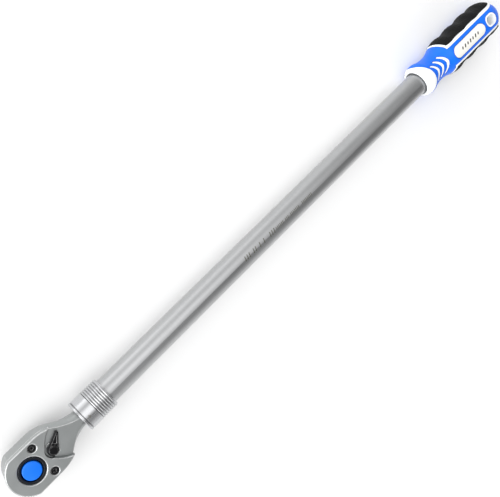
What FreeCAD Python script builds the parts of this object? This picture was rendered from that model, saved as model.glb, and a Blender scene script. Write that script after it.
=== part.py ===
import FreeCAD, Part
import math
import os
import re
import Sketcher

# Ratcheting extension breaker bar, 1/2 inch drive. Millimetres, +X along the bar from the drive to the grip,
# +Z up through the lever side. The origin is the centre of the drive square's end face.

doc = FreeCAD.newDocument("ratchetBar")
sheet = doc.addObject("Spreadsheet::Sheet", "dims")

# One row per driving dimension: alias, millimetres, what it is
driving = {
    "squareAcross": (12.7, "drive square, across flats"),
    "squareReach": (15.5, "drive square, end face to underside of head"),
    "barAxis": (25.5, "height of the bar's axis over the square's end"),
    "headHalf": (10.0, "half the head's thickness"),
    "headRadius": (19.6, "nose of the head about the drive axis"),
    "headWide": (18.1, "half width over the head's flats"),
    "neckStart": (15.0, "where the flats end and the neck begins"),
    "neckEnd": (52.0, "where the neck has become the round shank"),
    "crownRadius": (20.3, "radius of the turned crown over the head"),
    "shankRadius": (7.1, "sliding shank"),
    "shankEnd": (323.0, "inner end of the sliding shank"),
    "bushLength": (12.0, "guide bush on the shank's inner end"),
    "spigotRadius": (5.0, "spigot that carries the guide bush"),
    "recessDrop": (3.1, "plate's top face down to the neck's flat"),
    "plateThick": (4.3, "cover plate"),
    "wingX": (29.3, "tip of the plate's wings along the bar"),
    "notchRadius": (5.9, "plate's notch about the lever's pivot"),
    "notchWide": (5.0, "half width where the notch opens out into the wings"),
    "notchFlare": (28.0, "inner edge of the plate's wings"),
    "leverX": (20.4, "lever's pivot from the drive axis"),
    "leverShaft": (2.4, "lever shaft radius"),
    "leverDisc": (4.6, "lever's base disc radius"),
    "leverReach": (14.3, "lever's pivot to its tip"),
    "leverSwing": (38.0, "lever either side of the bar's line, degrees"),
    "pinX": (14.4, "pawl's pivot from the drive axis"),
    "pinRadius": (1.0, "pawl pin"),
    "pawlRock": (4.4, "pawl either side of its middle, degrees"),
    "screwX": (10.85, "cover screws from the drive axis"),
    "screwY": (12.85, "cover screws from the bar's line"),
    "gearTip": (12.2, "drive gear over its teeth"),
    "toothDeep": (0.5, "drive gear's teeth"),
    "hubRadius": (10.45, "drive gear's hub in the plate"),
    "journalRadius": (9.5, "drive gear's lower journal"),
    "floorThick": (4.0, "head's floor under the gear"),
    "buttonRadius": (7.4, "release button"),
    "buttonBore": (8.2, "recess in the hub round the button"),
    "releaseRadius": (2.9, "release pin"),
    "ballRadius": (2.2, "socket ball"),
    "ballHeight": (7.75, "socket ball over the square's end"),
    "ballOut": (5.12, "socket ball's centre from the drive axis"),
    "rampSlope": (0.32, "ball's travel over the button's"),
    "tubeRadius": (11.0, "outer tube, outside"),
    "tubeBore": (9.0, "outer tube, inside"),
    "tubeStart": (72.0, "front end of the outer tube"),
    "tubeEnd": (570.0, "rear end of the outer tube"),
    "barrelStart": (52.5, "front face of the lock barrel"),
    "lockX": (62.0, "plane of the lock balls"),
    "lockBall": (2.5, "lock ball radius"),
    "lockOut": (8.4, "lock ball's centre from the bar's axis"),
    "lockPitch": (35.0, "between the shank's ring grooves"),
    "sleeveStart": (50.1, "front face of the lock sleeve"),
    "sleeveEnd": (77.8, "rear face of the lock sleeve"),
    "sleeveRadius": (13.8, "lock sleeve, outside"),
    "sleeveTravel": (4.0, "lock sleeve, from locked to free"),
    "lockRise": (1.2, "lock ball's way out of its groove"),
    "ribPitch": (2.05, "between the sleeve's ribs"),
    "gripStart": (482.8, "front rim of the grip"),
    "gripEnd": (606.5, "rear end of the grip"),
    "gripRadius": (18.1, "grip, before it is made taller"),
    "gripTall": (1.06, "grip's height over its width"),
    "skin": (1.6, "depth of the blue and black mouldings"),
    "bandHalf": (9.3, "half width of the blue band"),
    "padEdge": (11.7, "edge of the black pads from the middle"),
    "padStart": (524.5, "front edge of the black pads"),
    "padRake": (0.42, "how far the pads' front edges lean forward, per millimetre outwards"),
    "strip": (2.4, "white strip round the black pads"),
    "noseEdge": (3.4, "foremost point of the blue moulding behind the grip's rim"),
    "noseCurve": (20.0, "radius of the blue moulding's front edge, seen from the side"),
    "fingerPitch": (21.0, "between the finger bumps"),
    "panelX": (548.4, "middle of the name panel"),
    "panelLong": (48.8, "name panel's length"),
    "panelWide": (12.4, "name panel's width"),
    "eyeX": (584.1, "middle of the hanging hole"),
    "eyeLong": (12.4, "hanging hole's length"),
    "eyeWide": (8.8, "hanging hole's width"),
    "eyeWall": (1.7, "white wall round the hanging hole"),
}
for row, (alias, (size, note)) in enumerate(driving.items(), start=1):
    sheet.set("A%d" % row, alias)
    sheet.set("B%d" % row, str(size))
    sheet.set("C%d" % row, note)
    sheet.setAlias("B%d" % row, alias)
doc.recompute()

lockGrooves = 7
gearTeeth = 72
sleeveRibs = 7
chevrons = 3
fit = 0.05                      # radial clearance of a running fit
alongX = FreeCAD.Rotation(FreeCAD.Vector(0, 1, 0), 90)
nodes = {}


# --- helpers: every size is an expression on the sheet -----------------------------------------------------------

def vector(x, y, z):
    return FreeCAD.Vector(x, y, z)


def bound(text):
    return re.sub(r"[A-Za-z]+", lambda word: "dims." + word.group() if word.group() in driving else word.group(),
                  str(text))


def number(text):
    value = sheet.evalExpression(bound(text))
    return float(getattr(value, "Value", value))


def bind(item, **sizes):
    for name, text in sizes.items():
        item.setExpression(name, bound(text))
    return item


def place(item, at=(0, 0, 0), turn=None):
    item.Placement = FreeCAD.Placement(vector(*[number(part) for part in at]), turn or FreeCAD.Rotation())
    for axis, text in zip("xyz", at):
        if str(text) != "0":
            item.setExpression("Placement.Base." + axis, bound(text))
    return item


def cylinder(name, radius, length, at=(0, 0, 0), turn=None):
    item = doc.addObject("Part::Cylinder", name)
    return place(bind(item, Radius=radius, Height=length), at, turn)


def cone(name, first, last, length, at=(0, 0, 0), turn=None):
    item = doc.addObject("Part::Cone", name)
    return place(bind(item, Radius1=first, Radius2=last, Height=length), at, turn)


def box(name, long, wide, high, at=(0, 0, 0), turn=None):
    item = doc.addObject("Part::Box", name)
    return place(bind(item, Length=long, Width=wide, Height=high), at, turn)


def fuse(name, items):
    item = doc.addObject("Part::MultiFuse", name)
    item.Shapes = items
    return item


def cut(name, base, tools):
    item = doc.addObject("Part::Cut", name)
    item.Base = base
    item.Tool = tools[0] if len(tools) == 1 else fuse(name + "Tools", tools)
    return item


def common(name, items):
    item = doc.addObject("Part::MultiCommon", name)
    item.Shapes = items
    return item


def arcThrough(start, end, radius):
    """The arc from start to end that turns left for a positive radius and right for a negative one."""
    chord = end.sub(start)
    left = vector(-chord.y, chord.x, 0).normalize()
    side = math.copysign(1, radius)
    middle = start.add(end).multiply(0.5)
    centre = middle.add(left.multiply(side * math.sqrt(max(radius ** 2 - (chord.Length / 2) ** 2, 0))))
    circle = Part.Circle(centre, vector(0, 0, 1), abs(radius))
    first, last = (start, end) if radius > 0 else (end, start)
    angles = [math.atan2(point.y - centre.y, point.x - centre.x) for point in (first, last)]
    return Part.ArcOfCircle(circle, *angles)


def outline(body, plane, corners, arcs=None, lift=0):
    """A closed sketch through the corners. arcs gives the radius of the edge that leaves a corner."""
    arcs = arcs or {}
    sketch = body.newObject("Sketcher::SketchObject", body.Name + "Sketch")
    origin = next(item for item in body.Origin.OriginFeatures if item.Role == plane)
    sketch.AttachmentSupport = [(origin, "")]
    sketch.MapMode = "FlatFace"
    if str(lift) != "0":
        sketch.setExpression("AttachmentOffset.Base.z", bound(lift))
    points = [vector(number(x), number(y), 0) for x, y in corners]
    edges = []
    for index, start in enumerate(points):
        end = points[(index + 1) % len(points)]
        if index in arcs:
            radius = number(arcs[index])
            edge = sketch.addGeometry(arcThrough(start, end, radius))
            edges.append((edge, 1, 2) if radius > 0 else (edge, 2, 1))
            size = sketch.addConstraint(Sketcher.Constraint("Radius", edge, abs(radius)))
            sketch.setExpression("Constraints[%d]" % size, "abs(%s)" % bound(arcs[index]))
        else:
            edges.append((sketch.addGeometry(Part.LineSegment(start, end)), 1, 2))
    for index, (edge, first, last) in enumerate(edges):
        after, afterFirst, _ = edges[(index + 1) % len(edges)]
        sketch.addConstraint(Sketcher.Constraint("Coincident", edge, last, after, afterFirst))
        for kind, text in zip(("DistanceX", "DistanceY"), corners[index]):
            size = sketch.addConstraint(Sketcher.Constraint(kind, -1, 1, edge, first, number(text)))
            sketch.setExpression("Constraints[%d]" % size, bound(text))
    return sketch


def turned(name, corners, arcs=None, upright=False, at=(0, 0, 0)):
    """A body of revolution: corners are (x, radius) along the bar, or (radius, z) when it stands upright."""
    body = doc.addObject("PartDesign::Body", name)
    sketch = outline(body, "XZ_Plane", corners, arcs)
    turn = body.newObject("PartDesign::Revolution", name + "Turn")
    turn.Profile = (sketch, [""])
    turn.ReferenceAxis = (sketch, ["V_Axis" if upright else "H_Axis"])
    turn.Angle = 360
    return place(body, at)


def padded(name, corners, arcs=None, lift=0, high=1, at=(0, 0, 0), turn=None):
    """A flat outline raised by high from the plane at lift."""
    body = doc.addObject("PartDesign::Body", name)
    sketch = outline(body, "XY_Plane", corners, arcs, lift)
    pad = body.newObject("PartDesign::Pad", name + "Pad")
    pad.Profile = (sketch, [""])
    bind(pad, Length=high)
    return place(body, at, turn)


def dressed(body, kind, size, edges, name):
    """A fillet or chamfer on the body's last feature, on the edges whose middle passes the test."""
    doc.recompute()
    base = body.Tip
    picked = ["Edge%d" % (index + 1) for index, edge in enumerate(base.Shape.Edges) if edges(edge)]
    feature = body.newObject("PartDesign::" + kind, name)
    feature.Base = (base, picked)
    bind(feature, **{"Radius" if kind == "Fillet" else "Size": size})
    return body


def node(label, item):
    item.Label = label
    nodes[label] = item
    return item


# --- head --------------------------------------------------------------------------------------------------------

plateTop = "(barAxis + headHalf)"
recess = "(barAxis + headHalf - recessDrop)"
plateUnder = "(barAxis + headHalf - plateThick)"
headUnder = "(barAxis - headHalf)"
gearUnder = "(barAxis - headHalf + floorThick)"
flatStart = "-sqrt(headRadius^2 - headWide^2)"
neckMid = "(neckStart + neckEnd) / 2"
neckArc = "((neckEnd - neckStart)^2 + (headWide - shankRadius)^2) / (4 * (headWide - shankRadius))"
crownStart = "(neckStart - 4)"
crownMid = "(neckStart - 4 + neckEnd) / 2"
crownArc = "((neckEnd - neckStart + 4)^2 + (crownRadius - shankRadius)^2) / (4 * (crownRadius - shankRadius))"
pocketBack = "17.9"
pocketHalf = "9.6"


def makePlateBlank(name):
    """The cover plate's full outline: the head's nose and flats, two wings and the notch for the lever."""
    reach = "sqrt((%s)^2 - (wingX - neckStart)^2)" % neckArc
    wingEdge = "(headWide - (%s) + %s)" % (neckArc, reach)
    openX = "leverX - sqrt(notchRadius^2 - notchWide^2)"
    corners = [(flatStart, "-headWide"), ("neckStart", "-headWide"), ("wingX", "-" + wingEdge),
               (openX, "-notchWide"), (openX, "notchWide"), ("wingX", wingEdge),
               ("neckStart", "headWide"), (flatStart, "headWide"), ("-headRadius", "0")]
    arcs = {1: neckArc, 2: "-notchFlare", 3: "-notchRadius", 4: "-notchFlare", 5: neckArc,
            7: "headRadius", 8: "headRadius"}
    return padded(name, corners, arcs, plateUnder, "plateThick")


def makeTongue(name):
    """Thin part of the cover plate, flush with the neck's flat, that closes the pawl's pocket round the lever."""
    corners = [(10.5, -2.0), (17.0, -4.45), ("leverX + 5.6", 0), (17.0, 4.45), (10.5, 2.0)]
    around = "sqrt((leverX - 17)^2 + 4.45^2)"
    return padded(name, corners, {1: around, 2: around}, plateUnder, "plateThick - recessDrop")


def makeHeadForging():
    """Pear-shaped head, neck and sliding shank in one forging, hollowed for the gear and the pawl."""
    side = [(flatStart, "-headWide"), ("neckStart", "-headWide"), (neckMid, "-(headWide + shankRadius) / 2"),
            ("neckEnd", "-shankRadius"), ("neckEnd", "-shankRadius - 2"), ("shankEnd + 20", "-shankRadius - 2")]
    corners = side + [(x, y.replace("-", "", 1).replace("- 2", "+ 2")) for x, y in reversed(side)]
    corners.append(("-headRadius", "0"))
    arcs = {1: neckArc, 2: "-" + neckArc, 8: "-" + neckArc, 9: neckArc, 11: "headRadius", 12: "headRadius"}
    plan = padded("headPlan", corners, arcs, headUnder, "2 * headHalf - recessDrop")
    ringEnd = "(shankEnd + bushLength + 1.2)"
    crown = turned("headCrown", [
        ("-headRadius - 2", 0), ("-headRadius - 2", "crownRadius"), (crownStart, "crownRadius"),
        (crownMid, "(crownRadius + shankRadius) / 2"), ("neckEnd", "shankRadius"),
        ("shankEnd", "shankRadius"), ("shankEnd", "spigotRadius"), ("shankEnd + bushLength", "spigotRadius"),
        ("shankEnd + bushLength", "spigotRadius - 0.7"), (ringEnd, "spigotRadius - 0.7"),
        (ringEnd, "spigotRadius"), (ringEnd + " + 1", "spigotRadius"), (ringEnd + " + 1", 0)],
        {2: "-" + crownArc, 3: crownArc}, at=(0, 0, "barAxis"))
    blank = common("headBlank", [plan, crown])
    grooves = [place(bind(doc.addObject("Part::Torus", "ringGroove%d" % index),
                          Radius1="lockOut", Radius2="lockBall + %g" % fit),
                     ("lockX + %d * lockPitch" % index, 0, "barAxis"), alongX) for index in range(lockGrooves)]
    depth = "headHalf * 2"
    tools = grooves + [
        makePlateBlank("plateSeat"), makeTongue("tongueSeat"),
        cylinder("gearBore", "gearTip + 0.15", depth, (0, 0, gearUnder)),
        cylinder("journalBore", "journalRadius + %g" % fit, depth, (0, 0, headUnder + " - 1")),
        box("pawlPocket", pocketBack + " - 8", "2 * " + pocketHalf, depth,
            (8, "-" + pocketHalf, "barAxis - headHalf + 5.8")),
        cylinder("plungerPocket", 4.4, depth, ("leverX", 0, "barAxis - headHalf + 5.8")),
        cylinder("leverBore", "leverShaft + %g" % fit, depth, ("leverX", 0, headUnder + " - 1")),
        cylinder("clipRecess", 4.4, 2.7, ("leverX", 0, headUnder + " - 1")),
        cylinder("pinHole", "pinRadius", 6, ("pinX", 0, headUnder + " + 2"))]
    for side, name in ((1, "screwHoleLeft"), (-1, "screwHoleRight")):
        tools.append(cylinder(name, 2, 12, ("screwX", "%d * screwY" % side, plateUnder + " - 9")))
    return node("head_forging", cut("headForging", blank, tools))


def makeCoverPlate():
    """Plate with softened edges, open for the gear's hub, the lever and the two screws."""
    blank = makePlateBlank("plateBlank")
    topHeight = number(plateTop)
    dressed(blank, "Chamfer", 0.55,
            lambda edge: all(abs(corner.Point.z - topHeight) < 0.01 for corner in edge.Vertexes), "plateEdge")
    tools = [cylinder("hubBore", "hubRadius + 0.1", 10, (0, 0, plateUnder + " - 1")),
             cone("hubLip", "hubRadius + 0.1", "hubRadius + 0.9", 0.8, (0, 0, plateTop + " - 0.7")),
             cylinder("leverHole", "leverShaft + %g" % fit, 10, ("leverX", 0, plateUnder + " - 1"))]
    for side, name in ((1, "Left"), (-1, "Right")):
        spot = ("screwX", "%d * screwY" % side)
        tools.append(cylinder("screwClear" + name, 2.1, 10, spot + (plateUnder + " - 1",)))
        tools.append(cylinder("screwSeat" + name, 3.25, 5, spot + (plateUnder + " + 1.6",)))
        tools.append(cone("screwLip" + name, 3.25, 3.75, 0.6, spot + (plateTop + " - 0.45",)))
    whole = fuse("plateWhole", [blank, makeTongue("plateTongue")])
    return node("cover_plate", cut("coverPlate", whole, tools))


def makeScrew(name, side):
    """Low-headed cap screw with a six-lobed socket."""
    seat = plateUnder + " + 1.6"
    screw = turned(name + "Turned", [
        (0, seat + " - 8.6"), (1.5, seat + " - 8.6"), (1.95, seat + " - 8.1"), (1.95, seat), (3.1, seat),
        (3.1, seat + " + 1.9"), (2.8, seat + " + 2.2"), (0, seat + " + 2.2")], upright=True)
    socket = [cylinder("%sCore" % name, 1.05, 3, (0, 0, seat + " + 0.8"))]
    for lobe in range(6):
        angle = math.radians(60 * lobe)
        socket.append(cylinder("%sLobe%d" % (name, lobe), 0.42, 3,
                               ("%.4f" % (1.15 * math.cos(angle)), "%.4f" % (1.15 * math.sin(angle)),
                                seat + " + 0.8")))
    return place(cut(name, screw, socket), ("screwX", "%d * screwY" % side, 0))


def makeHeadHardware():
    """Screws, pawl pin, and the guide bush with its ring on the shank's inner end."""
    screws = doc.addObject("Part::Compound", "coverScrews")
    screws.Links = [makeScrew("screwLeft", 1), makeScrew("screwRight", -1)]
    node("cover_screws", screws)
    node("pawl_pin", cylinder("pawlPin", "pinRadius", plateUnder + " - %s - 2.1" % headUnder,
                              ("pinX", 0, headUnder + " + 2")))
    outer = "tubeBore - %g" % fit
    node("guide_bush", turned("guideBush", [
        ("shankEnd", "spigotRadius"), ("shankEnd", outer + " - 0.6"), ("shankEnd + 0.6", outer),
        ("shankEnd + 4.5", outer), ("shankEnd + 4.5", outer + " - 0.7"), ("shankEnd + 7.5", outer + " - 0.7"),
        ("shankEnd + 7.5", outer), ("shankEnd + bushLength - 0.6", outer),
        ("shankEnd + bushLength", outer + " - 0.6"), ("shankEnd + bushLength", "spigotRadius")],
        at=(0, 0, "barAxis")))
    node("bush_ring", splitRing("bushRing", "spigotRadius - 0.7", "spigotRadius + 1.4", 1.1,
                                ("shankEnd + bushLength + 0.05", 0, "barAxis")))


def splitRing(name, inner, outer, thick, at, turn=alongX):
    """A retaining ring: a flat ring with a gap in it."""
    around = cylinder(name + "Outer", outer, thick)
    hole = cylinder(name + "Inner", inner, "%s + 2" % thick, (0, 0, -1))
    gap = box(name + "Gap", outer + " + 1", 1.6, "%s + 2" % thick, (0, -0.8, -1))
    return place(cut(name, around, [hole, gap]), at, turn)


# --- drive and quick release -------------------------------------------------------------------------------------

def serratedDisc(name, grow, bottom, high):
    """The ratchet gear's toothed disc. A Part::Feature, because its rim is a zigzag of 144 straight edges."""
    tip = number("gearTip") + grow
    root = tip - number("toothDeep")
    step = math.pi / gearTeeth
    rim = [vector(radius * math.cos(angle), radius * math.sin(angle), number(bottom))
           for index in range(2 * gearTeeth)
           for angle, radius in [(index * step, tip if index % 2 else root)]]
    item = doc.addObject("Part::Feature", name)
    item.Shape = Part.Face(Part.makePolygon(rim + rim[:1])).extrude(vector(0, 0, number(high)))
    return item


def makeDriveGear():
    """Toothed disc, hub ring, lower journal and 1/2 inch square in one piece, bored for the quick release."""
    half = "squareAcross / 2"
    corner = 1.2
    edge = "squareAcross / 2 - %g" % corner
    square = padded("driveSquare", [
        ("-(%s)" % edge, "-" + half), (edge, "-" + half), (half, "-(%s)" % edge), (half, edge),
        (edge, half), ("-(%s)" % edge, half), ("-" + half, edge), ("-" + half, "-(%s)" % edge)],
        {1: corner, 3: corner, 5: corner, 7: corner}, 0, "squareReach + 3")
    dressed(square, "Chamfer", 0.8,
            lambda side: all(abs(corner.Point.z) < 0.01 for corner in side.Vertexes), "squareTip")
    hubTop = plateTop + " - 0.2"
    hub = turned("driveHub", [
        (0, "squareReach + 0.3"), ("journalRadius - 0.4", "squareReach + 0.3"),
        ("journalRadius", "squareReach + 0.7"), ("journalRadius", gearUnder + " + 1"),
        ("gearTip - 1", gearUnder + " + 1"), ("gearTip - 1", plateUnder + " - 1"),
        ("hubRadius", plateUnder + " - 1"), ("hubRadius", hubTop + " - 0.4"),
        ("hubRadius - 0.4", hubTop), (0, hubTop)], upright=True)
    disc = serratedDisc("gearDisc", 0, gearUnder + " + 0.1", "%s - %s - 0.2" % (plateUnder, gearUnder))
    ballBore = "ballOut + 1.03"
    toY = FreeCAD.Rotation(vector(1, 0, 0), -90)
    tools = [cylinder("buttonRecess", "buttonBore", 20, (0, 0, "barAxis + 0.7")),
             cone("buttonLip", "buttonBore", "buttonBore + 0.7", 0.7, (0, 0, hubTop + " - 0.6")),
             cylinder("releaseBore", "releaseRadius + %g" % fit, 40, (0, 0, 1)),
             cylinder("ballBore", "ballRadius + %g" % fit, ballBore, (0, 0, "ballHeight"), toY),
             cylinder("ballMouth", "ballRadius - 0.2", 8, (0, 0, "ballHeight"), toY)]
    whole = fuse("driveWhole", [square, hub, disc])
    return node("drive_gear", cut("driveGear", whole, tools))


def coilSpring(name, radius, wire, pitch, high, at, turn=None):
    """A round-wire compression spring."""
    path = bind(doc.addObject("Part::Helix", name + "Path"), Radius=radius, Pitch=pitch, Height=high)
    section = place(bind(doc.addObject("Part::Circle", name + "Wire"), Radius=wire), (radius, 0, 0),
                    FreeCAD.Rotation(vector(1, 0, 0), 90))
    doc.recompute()
    spring = doc.addObject("Part::Sweep", name)
    spring.Sections = [section]
    spring.Spine = (path, ["Edge%d" % (index + 1) for index in range(len(path.Shape.Edges))])
    spring.Solid = True
    spring.Frenet = True
    return place(spring, at, turn)


def makeQuickRelease():
    """Button, pin with its ramp, return spring and the ball that holds a socket."""
    top = plateTop
    node("release_button", turned("releaseButton", [
        (0, top + " - 0.9"), ("releaseRadius", top + " - 0.9"), ("releaseRadius", top + " - 2.1"),
        ("buttonRadius - 1.2", top + " - 2.1"), ("buttonRadius - 1.2", top + " - 5.5"),
        ("buttonRadius", top + " - 5.5"), ("buttonRadius", top + " - 0.3"), ("buttonRadius - 0.6", top + " + 0.3"),
        (0, top + " + 0.7")], {7: "((buttonRadius - 0.6)^2 + 0.4^2) / (2 * 0.4)"}, upright=True))
    slope = "releaseRadius - 0.12 - rampSlope * "
    node("release_pin", turned("releasePin", [
        (0, 4.2), ("releaseRadius - 0.4", 4.2), ("releaseRadius", 4.6), ("releaseRadius", "ballHeight - 0.375"),
        (slope + "3.1", "ballHeight + 3.1"), (slope + "3.1", "ballHeight + 5.5"),
        ("releaseRadius", "ballHeight + 6.6"), ("releaseRadius", top + " - 0.9"), (0, top + " - 0.9")],
        upright=True))
    node("release_spring", coilSpring("releaseSpring", 4.6, 0.5, 1.9, 6, (0, 0, "barAxis + 1.3")))
    ball = bind(doc.addObject("Part::Sphere", "socketBall"), Radius="ballRadius")
    node("socket_ball", place(ball, (0, "ballOut", "ballHeight")))


# --- reversing lever and pawl ------------------------------------------------------------------------------------

def makeLever():
    """Lever with its disc, arm and shaft, bored across for the plunger; it rests swung towards +Y."""
    swung = FreeCAD.Rotation(vector(0, 0, 1), number("leverSwing"))
    pivot = ("leverX", 0, 0)
    seat = recess + " + 0.1"
    armTip = 1.65
    armRoot = 3.7
    rootX = "sqrt(leverDisc^2 - %g^2)" % armRoot
    arm = padded("leverArm", [
        (rootX, -armRoot), ("leverReach - %g" % armTip, -armTip), ("leverReach", 0),
        ("leverReach - %g" % armTip, armTip), (rootX, armRoot), ("-leverDisc", 0)],
        {1: armTip, 2: armTip, 4: "leverDisc", 5: "leverDisc"}, recess + " + 0.4", 3.4)
    top = number(recess) + 3.8
    hollow = padded("leverHollow", [
        (5.6, -1.4), ("leverReach - 3.3", -0.6), ("leverReach - 3.3", 0.6), (5.6, 1.4)],
        {1: 0.65, 3: 2.2}, recess + " + 3.2", 2)
    dressed(arm, "Chamfer", 1.1,
            lambda edge: all(abs(corner.Point.z - top) < 0.01 for corner in edge.Vertexes), "leverBevel")
    ringBottom = headUnder + " + 0.5"
    shaft = turned("leverShaft", [
        (0, headUnder + " + 0.1"), ("leverShaft - 0.3", headUnder + " + 0.1"),
        ("leverShaft", headUnder + " + 0.4"), ("leverShaft", ringBottom), ("leverShaft - 0.5", ringBottom),
        ("leverShaft - 0.5", ringBottom + " + 0.9"), ("leverShaft", ringBottom + " + 0.9"),
        ("leverShaft", seat), ("leverDisc", seat), ("leverDisc", seat + " + 1"), (3.5, seat + " + 3"),
        (3.5, seat + " + 4.3"), (3.0, seat + " + 4.7"), (0, seat + " + 4.7")], upright=True)
    bore = cylinder("plungerBore", 0.95, 4.2, (1.6, 0, "barAxis - 0.2"),
                    FreeCAD.Rotation(vector(0, 1, 0), -90))
    lever = cut("reversingLever", fuse("leverWhole", [arm, shaft]), [bore, hollow])
    node("reversing_lever", place(lever, pivot, swung))
    clip = splitRing("leverClip", "leverShaft - 0.5", "leverShaft + 1.3", 0.8, (0, 0, 0), FreeCAD.Rotation())
    node("lever_clip", place(clip, ("leverX", 0, ringBottom + " + 0.05"), swung))
    plunger = turned("plungerTurned", [
        ("-3.0", 0), ("-3.9", 0), ("-3.0", 0.9), ("-1.2", 0.9), ("-1.2", 0)][1:], {0: -0.9})
    node("pawl_plunger", place(plunger, ("leverX", 0, "barAxis - 0.2"), swung))
    backwards = swung.multiply(FreeCAD.Rotation(vector(0, 1, 0), -90))
    angle = math.radians(number("leverSwing"))
    start = 1.35
    spring = coilSpring("plungerSpring", 0.55, 0.15, 0.6, 2.2,
                        ("leverX + %.4f" % (start * math.cos(angle)), "%.4f" % (start * math.sin(angle)),
                         "barAxis - 0.2"), backwards)
    node("plunger_spring", spring)


def makePawl():
    """Two-armed pawl, rocked onto the arm on the -Y side; its teeth are the gear's own form with clearance."""
    front = "(gearTip + 0.16)"
    spread = math.radians(36)
    frontX = "%s * %.5f" % (front, math.cos(spread))
    frontY = "%s * %.5f" % (front, math.sin(spread))
    back = "4.25"
    horn = "2.9"
    hornX = "leverX - sqrt(%s^2 - %s^2)" % (back, horn)
    half = [(frontX, frontY), (frontX + " + 2.2", frontY + " + 1.6"), ("pinX + 1.7", "4.9"), (hornX, horn)]
    corners = [(x, "-(%s)" % y) for x, y in half] + list(reversed(half))
    blank = padded("pawlBlank", corners, {3: "-" + back, 7: "-" + front}, "barAxis - 4", 9.3)
    hole = cylinder("pawlHole", "pinRadius + %g" % fit, 12, ("pinX", 0, "barAxis - 5"))
    rock = number("pawlRock")
    pin = vector(number("pinX"), 0, 0)
    tools = [hole]
    for side in (1, -1):
        mesh = serratedDisc("pawlMesh%d" % (side + 1), 0.08, "barAxis - 5", "12")
        mesh.Placement = FreeCAD.Placement(vector(0, 0, 0), FreeCAD.Rotation(vector(0, 0, 1), side * rock), pin)
        tools.append(mesh)
    pawl = cut("pawl", blank, tools)
    pawl.Placement = FreeCAD.Placement(vector(0, 0, 0), FreeCAD.Rotation(vector(0, 0, 1), -rock), pin)
    return node("pawl", pawl)


# --- tube and lock -----------------------------------------------------------------------------------------------

def makeTube():
    """Outer tube, with the groove for the ring behind the sleeve's spring, and the plug in its rear end."""
    ring = "sleeveEnd - 1.9"
    node("outer_tube", turned("outerTube", [
        ("tubeStart", "tubeBore"), ("tubeStart", "tubeRadius"), (ring, "tubeRadius"), (ring, "tubeRadius - 0.6"),
        (ring + " + 1.1", "tubeRadius - 0.6"), (ring + " + 1.1", "tubeRadius"), ("tubeEnd", "tubeRadius"),
        ("tubeEnd", "tubeBore")], at=(0, 0, "barAxis")))
    node("rear_ring", splitRing("rearRing", "tubeRadius - 0.6", "tubeRadius + 0.95", 1,
                                (ring + " + 0.05", 0, "barAxis")))
    node("tube_plug", turned("tubePlug", [
        ("tubeEnd - 12", 0), ("tubeEnd - 12", "tubeBore - 1"), ("tubeEnd - 11", "tubeBore"),
        ("tubeEnd", "tubeBore"), ("tubeEnd", 0)], at=(0, 0, "barAxis")))


def makeLock():
    """Barrel in the tube's mouth with three balls, each held in the shank's groove by the sleeve."""
    ring = "barrelStart + 0.6"
    barrel = turned("barrelTurned", [
        ("barrelStart", "shankRadius + 0.4"), ("barrelStart", "tubeRadius - 0.6"), (ring, "tubeRadius - 0.6"),
        (ring + " + 1.1", "tubeRadius - 0.6"), (ring + " + 1.1", "tubeRadius"), ("tubeStart", "tubeRadius"),
        ("tubeStart", "tubeBore"), ("tubeStart + 28", "tubeBore"), ("tubeStart + 28", "shankRadius + %g" % fit),
        ("barrelStart + 0.4", "shankRadius + %g" % fit)], at=(0, 0, "barAxis"))
    holes = []
    for index in range(3):
        turn = FreeCAD.Rotation(vector(1, 0, 0), -120 * index)
        hole = cylinder("ballHole%d" % index, "lockBall + %g" % fit, 8, ("lockX", 0, "barAxis"), turn)
        away = turn.multVec(vector(0, 0, 5))
        hole.setExpression("Placement.Base.y", "%.6f" % away.y)
        hole.setExpression("Placement.Base.z", bound("barAxis + %.6f" % away.z))
        holes.append(hole)
        out = turn.multVec(vector(0, 0, 1))
        ball = bind(doc.addObject("Part::Sphere", "lockBall%d" % index), Radius="lockBall")
        node("lock_ball_%d" % (index + 1), place(ball, (
            "lockX", "lockOut * %.6f" % out.y, "barAxis + lockOut * %.6f" % out.z)))
    node("lock_barrel", cut("lockBarrel", barrel, holes))
    node("front_ring", splitRing("frontRing", "tubeRadius - 0.6", "tubeRadius + 0.95", 1,
                                 (ring + " + 0.05", 0, "barAxis")))
    node("sleeve_spring", coilSpring("sleeveSpring", "tubeRadius + 0.55", 0.4, 2.6, 7.4,
                                     ("lockX + 6", 0, "barAxis"), alongX))


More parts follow.
